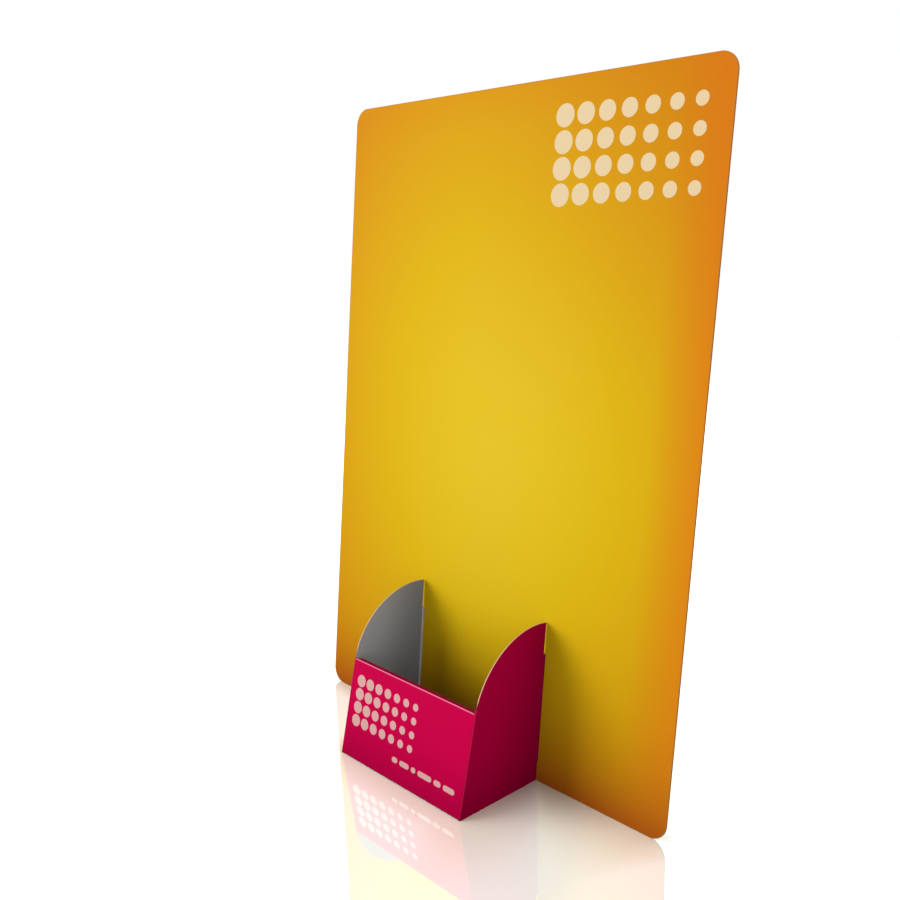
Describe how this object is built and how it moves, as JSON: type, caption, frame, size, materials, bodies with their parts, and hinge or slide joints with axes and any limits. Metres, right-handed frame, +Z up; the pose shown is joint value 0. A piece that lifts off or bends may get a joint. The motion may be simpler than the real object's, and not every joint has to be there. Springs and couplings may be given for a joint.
{
  "type": "cardboard display stand",
  "caption": "Counter-top board stand that leans back on a folded easel, with a folded card pocket for leaflets at its foot.",
  "frame": {"origin": "on the table, in the middle of the stand's footprint", "axes": "+X to the right as seen from the front, +Y to the back, +Z up"},
  "size_m": [0.297, 0.1746, 0.4192],
  "materials": {
    "printed_board": "satin print, yellow that turns orange towards the edges",
    "printed_card": "satin magenta print outside, grey inside, pale cut edges",
    "grey_board": "bare grey board, matt"
  },
  "bodies": {
    "root": {"poster_panel": "printed_board", "leaflet_pocket": "printed_card", "easel_back": "grey_board"}
  },
  "joints": []
}
